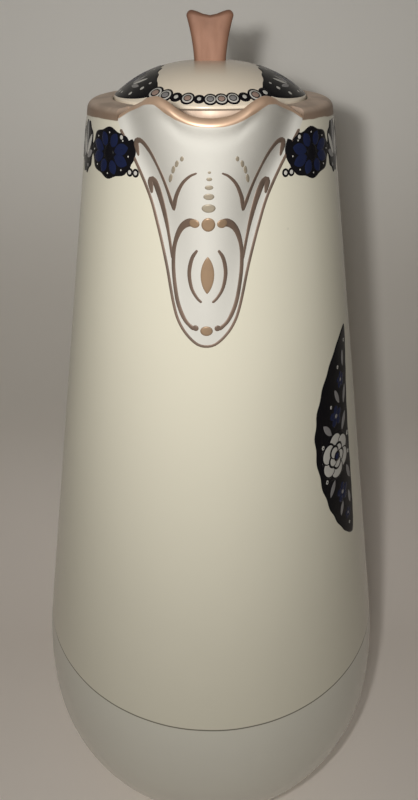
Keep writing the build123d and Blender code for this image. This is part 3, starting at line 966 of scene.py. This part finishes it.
def buildLidBorder(materials):
    l = lidBorder
    store = {}
    for place in l["clusters"]:
        gather(store, lidCluster(), onDome(radians(place), l["clusterRadius"]))
    for middle, half, count in l["chains"]:
        for k, share in enumerate(np.linspace(-1, 1, count)):
            place = radians(middle + half * share * (1 - l["bunching"] + l["bunching"] * abs(share)))
            radius = l["chainRadius"] - l["chainDrift"] * share ** 2
            link = chainLink(l["linkKinds"][k % len(l["linkKinds"])], 1 + l["linkGrowth"] * share ** 2)
            gather(store, link, onDome(place, radius))
    joinStore(store, "lidBorder", materials, "lid")


handleGilding = {
    # strokes are drawn with the loop as drawnLength millimetres long, and its normals take a step along it;
    # a dash is its place beside, size and tilt
    "drawnLength": 130.0, "step": 0.26, "spine": (0.10, 0.90), "spineWidths": [0.3, 1.6, 2.2, 2.0, 2.2, 1.6, 0.3],
    "spinePoints": 9, "dashes": 9, "dash": (2.6, 0.32, 1.5, 20),
}


# The handle's outer back: across is the distance round the section, up runs down along the loop.
def onHandle(across, up):
    share = up / handleGilding["drawnLength"]
    girth = (handle["width"] + handle["depth"]) / 4 * handleStoutness(share)
    return handleSurface(across / girth, share)


def buildHandleGilding(material):
    h = handleGilding
    low, high = (share * h["drawnLength"] for share in h["spine"])
    beside, wide, tall, tilt = h["dash"]
    shapes = [stroke([(0, up) for up in np.linspace(low, high, h["spinePoints"])], h["spineWidths"], density=10)]
    for up in np.linspace(low, high, h["dashes"] + 2)[1:-1]:
        shapes += [blob((side * beside, up), oval(wide, tall, side * radians(tilt)), count=14) for side in (1, -1)]
    coats = [layShape(shape, onHandle, h["step"]) for shape in shapes]
    joinPiece("handleGilding", coats, material, "pot")


colours = {
    "cream": (0.74, 0.70, 0.565), "paleCream": (0.70, 0.675, 0.58), "white": (0.71, 0.69, 0.63),
    # the lid's cream is its own colour painted paler, as painted light from above
    "litLidCream": (0.90, 0.79, 0.63), "gold": (0.80, 0.555, 0.385), "goldDeep": (0.57, 0.355, 0.235),
    # the rim's two gold tones are painted light and shade: paler on its top, darker on the band round its outside
    "litLedgeGold": (0.70, 0.54, 0.42), "ledgeDeep": (0.34, 0.25, 0.185), "shadedBandGold": (0.31, 0.215, 0.15),
    "lineGold": (0.225, 0.155, 0.115), "lineDeep": (0.12, 0.092, 0.07), "spotGold": (0.41, 0.275, 0.17),
    "spotDeep": (0.29, 0.20, 0.13), "dashGold": (0.44, 0.375, 0.28), "dashDeep": (0.33, 0.285, 0.22),
    "knobGold": (0.30, 0.150, 0.092), "knobDeep": (0.22, 0.110, 0.07), "thread": (0.17, 0.155, 0.11),
    "black": (0.006, 0.0055, 0.007), "blue": (0.010, 0.015, 0.050), "pale": (0.56, 0.54, 0.49),
    "grey": (0.24, 0.23, 0.225), "blush": (0.34, 0.235, 0.19),
}


# A shader node group whose outputs are a colour, a roughness and a normal.
def shadeGroup(name, inputs):
    group = bpy.data.node_groups.new(name, "ShaderNodeTree")
    for label, value in inputs.items():
        kind = "NodeSocketColor" if isinstance(value, tuple) else "NodeSocketFloat"
        socket = group.interface.new_socket(name=label, in_out="INPUT", socket_type=kind)
        socket.default_value = (*value, 1) if isinstance(value, tuple) else value
    for label, kind in (("Colour", "Color"), ("Roughness", "Float"), ("Normal", "Vector")):
        group.interface.new_socket(name=label, in_out="OUTPUT", socket_type="NodeSocket" + kind)
    return group, group.nodes.new("NodeGroupInput"), group.nodes.new("NodeGroupOutput")


# Adds a node, sets its properties and input values, and links sockets into it.
def add(tree, kind, links=(), **settings):
    node = tree.nodes.new(kind)
    for key, value in settings.items():
        if hasattr(node, key):
            setattr(node, key, value)
        else:
            node.inputs[key.replace("_", " ")].default_value = value
    for source, target in links:
        tree.links.new(source, node.inputs[target])
    return node


# A Math node; each operand is a socket or a number.
def maths(tree, operation, *operands):
    node = tree.nodes.new("ShaderNodeMath")
    node.operation = operation
    for k, value in enumerate(operands):
        if isinstance(value, (int, float)):
            node.inputs[k].default_value = value
        else:
            tree.links.new(value, node.inputs[k])
    return node.outputs[0]


def times(tree, a, b):
    return maths(tree, "MULTIPLY", a, b)


def plus(tree, a, b):
    return maths(tree, "ADD", a, b)


def minus(tree, a, b):
    return maths(tree, "SUBTRACT", a, b)


def placeIn(tree):
    return add(tree, "ShaderNodeTexCoord").outputs["Object"]


def noise(tree, place, scale, detail=2.0):
    return add(tree, "ShaderNodeTexNoise", [(place, "Vector")], Scale=scale, Detail=detail).outputs["Fac"]


def attribute(tree, name):
    return add(tree, "ShaderNodeAttribute", attribute_name=name).outputs["Fac"]


# 0 below low, 1 above high, smooth between.
def ramp(tree, value, low, high):
    node = tree.nodes.new("ShaderNodeMapRange")
    node.interpolation_type = "SMOOTHSTEP"
    node.inputs["From Min"].default_value, node.inputs["From Max"].default_value = low, high
    tree.links.new(value, node.inputs["Value"])
    return node.outputs["Result"]


# Colour mix; a and b are sockets or colours.
def mixColour(tree, factor, a, b):
    node = tree.nodes.new("ShaderNodeMix")
    node.data_type = "RGBA"
    tree.links.new(factor, node.inputs["Factor"])
    for key, value in (("A", a), ("B", b)):
        socket = [s for s in node.inputs if s.name == key and s.type == "RGBA"][0]
        if isinstance(value, tuple):
            socket.default_value = (*value, 1)
        else:
            tree.links.new(value, socket)
    return [s for s in node.outputs if s.type == "RGBA"][0]


fired = {
    # texture scales are per metre, and their detail follows where it is given
    "driftScale": 28.0, "grainScale": 420.0, "speckScale": 95.0, "speckSize": (0.035, 0.02), "rareScale": 60.0,
    "rare": (0.60, 0.66), "speckDepth": 0.22, "grain": 0.06, "roughness": 0.19, "wave": (75.0, 1.0),
    "waveHeight": 0.0006,
}
burnished = {
    "cloud": (160.0, 3.0), "brush": (900.0, 900.0, 220.0), "thin": (0.42, 0.72), "brushRough": 0.14,
    "cloudRough": 0.16, "brushHeight": 0.00003, "brushStrength": 0.35,
}


# Fired glaze: a faint lighter and darker drift, rare specks, and a slow waviness of the surface.
def makeGlazeGroup():
    f = fired
    tree, start, end = shadeGroup("firedGlaze", {"Colour": (1, 1, 1), "Drift": 0.04, "Waviness": 0.2})
    place = placeIn(tree)
    cells = add(tree, "ShaderNodeTexVoronoi", [(place, "Vector")], Scale=f["speckScale"])
    speck = times(tree, ramp(tree, cells.outputs["Distance"], *f["speckSize"]),
                  ramp(tree, noise(tree, place, f["rareScale"]), *f["rare"]))
    drift = times(tree, minus(tree, noise(tree, place, f["driftScale"]), 0.5), start.outputs["Drift"])
    bright = minus(tree, plus(tree, drift, 1.0), times(tree, speck, f["speckDepth"]))
    three = add(tree, "ShaderNodeCombineXYZ", [(bright, k) for k in range(3)]).outputs[0]
    scaled = add(tree, "ShaderNodeVectorMath", [(start.outputs["Colour"], 0), (three, 1)], operation="MULTIPLY")
    rough = plus(tree, times(tree, noise(tree, place, f["grainScale"]), f["grain"]), f["roughness"])
    bump = add(tree, "ShaderNodeBump", [(noise(tree, place, *f["wave"]), "Height"),
                                        (start.outputs["Waviness"], "Strength")], Distance=f["waveHeight"])
    for source, label in ((scaled.outputs[0], "Colour"), (rough, "Roughness"), (bump.outputs[0], "Normal")):
        tree.links.new(source, end.inputs[label])
    return tree


# Burnished bright gold: brushed streaks, deeper where it is thin, and a soft uneven burnish.
def makeGoldGroup():
    b = burnished
    tree, start, end = shadeGroup("burnishedGold", {"Bright": colours["gold"], "Deep": colours["goldDeep"],
                                                    "Wear": 0.3, "Dullness": 0.22})
    place = placeIn(tree)
    cloud = noise(tree, place, *b["cloud"])
    stretched = add(tree, "ShaderNodeMapping", [(place, "Vector")], Scale=b["brush"])
    brushed = noise(tree, stretched.outputs[0], 1.0)
    thin = times(tree, ramp(tree, cloud, *b["thin"]), start.outputs["Wear"])
    colour = mixColour(tree, thin, start.outputs["Bright"], start.outputs["Deep"])
    uneven = plus(tree, times(tree, brushed, b["brushRough"]), times(tree, cloud, b["cloudRough"]))
    bump = add(tree, "ShaderNodeBump", [(brushed, "Height")], Distance=b["brushHeight"],
               Strength=b["brushStrength"])
    rough = plus(tree, uneven, start.outputs["Dullness"])
    for source, label in ((colour, "Colour"), (rough, "Roughness"), (bump.outputs[0], "Normal")):
        tree.links.new(source, end.inputs[label])
    return tree


glazeGroup, goldGroup = makeGlazeGroup(), makeGoldGroup()


def newMaterial(name):
    material = bpy.data.materials.new(name)
    material.use_nodes = True
    tree = material.node_tree
    return material, tree, tree.nodes["Principled BSDF"]


def useGroup(tree, group, **values):
    node = tree.nodes.new("ShaderNodeGroup")
    node.node_tree = group
    for key, value in values.items():
        node.inputs[key].default_value = (*value, 1) if isinstance(value, tuple) else value
    return node


def useSkin(tree, node, shader):
    for label, target in (("Colour", "Base Color"), ("Roughness", "Roughness"), ("Normal", "Normal")):
        tree.links.new(node.outputs[label], shader.inputs[target])


# Glaze with gold fired over it where the mask is 1; both come from the shared groups.
def glazeWithGold(name, goldMask, tones, lustre, dullness, ground=None, goldTone=None, **glazeValues):
    material, tree, shader = newMaterial(name)
    glaze = useGroup(tree, glazeGroup, **glazeValues)
    bright, deep = (colours[tone] for tone in tones)
    gold = useGroup(tree, goldGroup, Bright=bright, Deep=deep, Wear=0.5, Dullness=dullness)
    if ground:
        tree.links.new(ground(tree), glaze.inputs["Colour"])
    if goldTone:
        tree.links.new(goldTone(tree), gold.inputs["Bright"])
    mask = goldMask(tree)
    rough = add(tree, "ShaderNodeMix", [(mask, "Factor"), (glaze.outputs["Roughness"], 2),
                                        (gold.outputs["Roughness"], 3)])
    colour = mixColour(tree, mask, glaze.outputs["Colour"], gold.outputs["Colour"])
    for source, target in ((colour, "Base Color"), (times(tree, mask, lustre), "Metallic"),
                           (rough.outputs[0], "Roughness"), (glaze.outputs["Normal"], "Normal")):
        tree.links.new(source, shader.inputs[target])
    return material


potFinish = {
    # the rim top's heights: where the rim's gold turns from its painted darker band to its painted paler top
    "goldFrom": 220.5, "goldRise": 1.0, "goldInner": 22.0, "edgeWander": 0.5, "litRimTop": (222.3, 223.5),
    "goldEdge": 0.1, "innerEdge": 0.06, "front": (0.1, 0.72),
    "threadAt": 66.4, "threadHalf": 0.22, "threadEdge": 0.1, "threadWander": (0.25, 90.0), "insideEdge": 0.4,
}
beakFinish = {"insideDrop": 6.0, "edgeWander": 0.35, "edge": 0.08}


# Height and distance from the axis, in millimetres, from Object coordinates.
def uprightAndOut(tree):
    place = placeIn(tree)
    part = add(tree, "ShaderNodeSeparateXYZ", [(place, 0)])
    x, y, z = (times(tree, part.outputs[k], 1 / mm) for k in range(3))
    out = maths(tree, "SQRT", plus(tree, times(tree, x, x), times(tree, y, y)))
    return z, out, y, place


def wander(tree, place, amount, scale=260.0):
    return times(tree, minus(tree, noise(tree, place, scale, 1.0), 0.5), amount)


# 1 on the ledge and down to a slightly uneven edge below it, which rises towards the beak.
def shoulderGold(tree):
    p = potFinish
    height, out, y, place = uprightAndOut(tree)
    front = maths(tree, "DIVIDE", times(tree, y, -1.0), out)
    level = plus(tree, height, wander(tree, place, p["edgeWander"]))
    level = minus(tree, level, times(tree, ramp(tree, front, *p["front"]), p["goldRise"]))
    onBand = ramp(tree, level, p["goldFrom"] - p["goldEdge"], p["goldFrom"] + p["goldEdge"])
    return times(tree, onBand, ramp(tree, out, p["goldInner"] - p["innerEdge"], p["goldInner"] + p["innerEdge"]))


# Painted light and shade: the rim's gold is painted paler on top, as if lit from above, and darker on the band
# round its outside, as a painted dark reflection.
def rimLightAndShade(tree):
    top = ramp(tree, uprightAndOut(tree)[0], *potFinish["litRimTop"])
    return mixColour(tree, top, colours["shadedBandGold"], colours["litLedgeGold"])


# Cream above a thin gold thread, paler and greyer below it and inside.
def potGround(tree):
    p = potFinish
    height, out, _, place = uprightAndOut(tree)
    level = plus(tree, height, wander(tree, place, *p["threadWander"]))
    above = ramp(tree, level, p["threadAt"] - p["threadEdge"], p["threadAt"] + p["threadEdge"])
    away = maths(tree, "ABSOLUTE", minus(tree, level, p["threadAt"]))
    thread = ramp(tree, away, p["threadHalf"] + p["threadEdge"], p["threadHalf"] - p["threadEdge"])
    wallOut = plus(tree, times(tree, height, -tan(wallAngle)), coneRadius(0) - pot["wall"] / 2)
    outside = ramp(tree, minus(tree, out, wallOut), -p["insideEdge"], p["insideEdge"])
    ground = mixColour(tree, times(tree, above, outside), colours["paleCream"], colours["cream"])
    return mixColour(tree, thread, ground, colours["thread"])


# 1 near the beak's rim outside, further down inside, with a slightly uneven edge.
def rimGold(tree):
    b = beakFinish
    reachDown = plus(tree, times(tree, attribute(tree, "inward"), b["insideDrop"]), attribute(tree, "gilded"))
    drop = plus(tree, attribute(tree, "belowRim"), wander(tree, placeIn(tree), b["edgeWander"]))
    return ramp(tree, minus(tree, reachDown, drop), -b["edge"], b["edge"])


# Gold on its own: how metallic it looks is its lustre, lower where it was drawn thinly with a brush.
def firedGold(name, deep, lustre, dullness=0.3):
    material, tree, shader = newMaterial(name)
    gold = useGroup(tree, goldGroup, Bright=colours[name], Deep=colours[deep], Wear=0.6, Dullness=dullness)
    useSkin(tree, gold, shader)
    shader.inputs["Metallic"].default_value = lustre
    return material


# Overglaze enamel: the colour with a little drift, and a glossy fired skin.
def enamel(name, colour, drift=0.25, specular=0.5):
    material, tree, shader = newMaterial(name)
    shader.inputs["Specular IOR Level"].default_value = specular
    useSkin(tree, useGroup(tree, glazeGroup, Colour=colour, Drift=drift, Waviness=0.1), shader)
    return material


# the shoulder's gold takes its painted light and shade from the rim's tone: paler on top, darker round the band
potGlaze = glazeWithGold("creamGlaze", shoulderGold, ("litLedgeGold", "ledgeDeep"), lustre=0.35, dullness=0.36,
                         ground=potGround, goldTone=rimLightAndShade, Drift=0.05, Waviness=0.12)
beakGlaze = glazeWithGold("whiteGlaze", rimGold, ("gold", "goldDeep"), lustre=0.6, dullness=0.3,
                          Colour=colours["white"], Drift=0.04, Waviness=0.12)
handleGlaze = enamel("handleGlaze", colours["white"], 0.04)
# the lid's own cream, painted paler as painted light falling on it from above
lidGlaze = enamel("lidGlaze", colours["litLidCream"], 0.05)
knobGold = firedGold("knobGold", "knobDeep", lustre=0.3, dullness=0.45)
lineGold = firedGold("lineGold", "lineDeep", lustre=0.3)
spotGold = firedGold("spotGold", "spotDeep", lustre=0.3)
dashGold = firedGold("dashGold", "dashDeep", lustre=0.2)
# each enamel's colour and gloss
enamelKinds = {"black": ("black", 0.07), "blue": ("blue", 0.1), "pale": ("pale", 0.4), "grey": ("grey", 0.3),
               "cream": ("pale", 0.4), "ink": ("black", 0.07), "blush": ("blush", 0.4)}
enamels = {name: enamel(name + "Enamel", colours[key], specular=gloss)
           for name, (key, gloss) in enamelKinds.items()}
print("finishes made")

buildPot(potGlaze)
buildBeak(beakGlaze)
print("pot and beak made")
buildHandle(handleGlaze)
buildLid(lidGlaze)
buildFinial(knobGold)
print("handle, lid and finial made")
buildGilding((lineGold, dashGold, spotGold))
buildHandleGilding(spotGold)
buildBorder(enamels)
buildMedallions(enamels)
buildLidBorder(enamels)
print("ornament laid")

stage = {
    "wallAt": 96.0, "cove": 70.0, "front": -900.0, "back": 900.0, "side": 1000.0, "height": 900.0,
    # the floor and the top are painted paler and the wall darker: painted light and shade on the backdrop
    "floor": (0.95, 0.87, 0.79), "wall": (0.73, 0.69, 0.63), "top": (0.93, 0.90, 0.84),
    # heights between which the floor turns to wall and the wall to its top, and how unevenly
    "turn": (5.0, 100.0), "fade": (135.0, 235.0), "cloudScale": 9.0, "cloudRise": 12.0, "roughness": 0.75,
}


# Pale stage with painted light: a darker wall tone over a paler floor, and a paler top over both, painted as the
# lamps' light and shade on it. It is clear from behind.
def stageMaterial():
    s = stage
    material, tree, shader = newMaterial("paleSweep")
    place = placeIn(tree)
    height = times(tree, add(tree, "ShaderNodeSeparateXYZ", [(place, 0)]).outputs[2], 1 / mm)
    height = plus(tree, height, times(tree, noise(tree, place, s["cloudScale"]), s["cloudRise"]))
    upright = mixColour(tree, ramp(tree, height, *s["turn"]), s["floor"], s["wall"])
    tree.links.new(mixColour(tree, ramp(tree, height, *s["fade"]), upright, s["top"]), shader.inputs["Base Color"])
    shader.inputs["Roughness"].default_value = s["roughness"]
    behind = add(tree, "ShaderNodeNewGeometry").outputs["Backfacing"]
    clear = add(tree, "ShaderNodeBsdfTransparent").outputs[0]
    mix = add(tree, "ShaderNodeMixShader", [(behind, 0), (shader.outputs[0], 1), (clear, 2)])
    tree.links.new(mix.outputs[0], tree.nodes["Material Output"].inputs["Surface"])
    return material


# Floor that sweeps up into a backdrop through a quarter circle, and more floor behind it for views from there.
def buildStage():
    s = stage
    foot = s["wallAt"] - s["cove"]
    sweep = np.vstack([line((s["front"], 0), (foot, 0), 24)[:-1], arc((foot, s["cove"]), s["cove"], -pi / 2, 0, 24),
                       line((s["wallAt"], s["cove"]), (s["wallAt"], s["height"]), 10)[1:]])
    x = np.linspace(-s["side"], s["side"], 12)
    points, faces = [], []
    for section in (sweep, line((foot, 0), (s["back"], 0), 12)):
        faces += gridFaces(len(section), len(x), start=sum(len(part) for part in points))
        along, up = section[:, :1] + 0 * x, section[:, 1:] + 0 * x
        points.append(np.stack([x + 0 * along, along, up], -1).reshape(-1, 3))
    mesh = newMesh("sweep", np.vstack(points), faces)
    mesh.shade_smooth()
    mesh.materials.append(stageMaterial())
    sheet = newObject("sweep", mesh)


# A small key lamp beside the camera, a soft one behind it, and two weak ones from behind the pot.
lamps = {
    "key": {"at": (-19.5, -160.0, 250.0), "size": 10.0, "watts": 0.145, "colour": (1.0, 0.99, 0.97)},
    "soft": {"at": (-32.0, -240.0, 262.0), "size": 40.0, "watts": 0.14, "colour": (1.0, 0.99, 0.97)},
    "backLeft": {"at": (-360.0, 350.0, 240.0), "size": 300.0, "watts": 0.6, "colour": (1.0, 0.98, 0.95)},
    "backRight": {"at": (360.0, 350.0, 240.0), "size": 300.0, "watts": 0.6, "colour": (1.0, 0.98, 0.95)},
}
lampAim = (0, 0, 140.0)
room = {"colour": (1.0, 0.985, 0.965), "strength": 0.08, "seen": 0.3}


def buildLamps():
    for name, s in lamps.items():
        lamp = bpy.data.lights.new(name, "AREA")
        lamp.shape, lamp.size, lamp.energy, lamp.color = "DISK", s["size"] * mm, s["watts"], s["colour"]
        piece = newObject(name, lamp)
        piece.location = Vector(s["at"]) * mm
        piece.rotation_euler = (Vector(lampAim) - Vector(s["at"])).to_track_quat("-Z", "Y").to_euler()
        piece.visible_camera = False


# A dim world, which the camera and the gloss see paler round the stage.
def buildRoom():
    world = bpy.data.worlds.new("softRoom")
    bpy.context.scene.world = world
    world.use_nodes = True
    tree = world.node_tree
    path = add(tree, "ShaderNodeLightPath")
    seen = maths(tree, "MAXIMUM", path.outputs["Is Camera Ray"], path.outputs["Is Glossy Ray"])
    dim, pale = tree.nodes["Background"], add(tree, "ShaderNodeBackground")
    for node, strength in ((dim, room["strength"]), (pale, room["seen"])):
        node.inputs["Color"].default_value = (*room["colour"], 1)
        node.inputs["Strength"].default_value = strength
    mix = add(tree, "ShaderNodeMixShader", [(seen, 0), (dim.outputs[0], 1), (pale.outputs[0], 2)])
    tree.links.new(mix.outputs[0], tree.nodes["World Output"].inputs["Surface"])


view = {
    "at": (-0.45, -160.0, 241.6), "down": 31.79, "roll": -0.003, "focal": 640.0, "longSide": 800.0, "film": 36.0,
    "clip": (0.005, 20.0),
}


# The focal length is given in picture pixels: lens = focal / long side x film.
def buildCamera():
    camera = bpy.data.cameras.new("front")
    camera.sensor_fit, camera.sensor_width = "AUTO", view["film"]
    camera.lens = view["focal"] / view["longSide"] * view["film"]
    camera.clip_start, camera.clip_end = view["clip"]
    piece = newObject("front", camera)
    piece.rotation_mode = "XYZ"
    piece.location = [v * mm for v in view["at"]]
    tilt = Matrix.Rotation(radians(90 - view["down"]), 3, "X") @ Matrix.Rotation(view["roll"], 3, "Z")
    piece.rotation_euler = tilt.to_euler()
    bpy.context.scene.camera = piece


buildStage()
buildLamps()
buildRoom()
buildCamera()
bpy.context.scene.view_settings.view_transform = "Standard"
print("stage, lights and camera set")
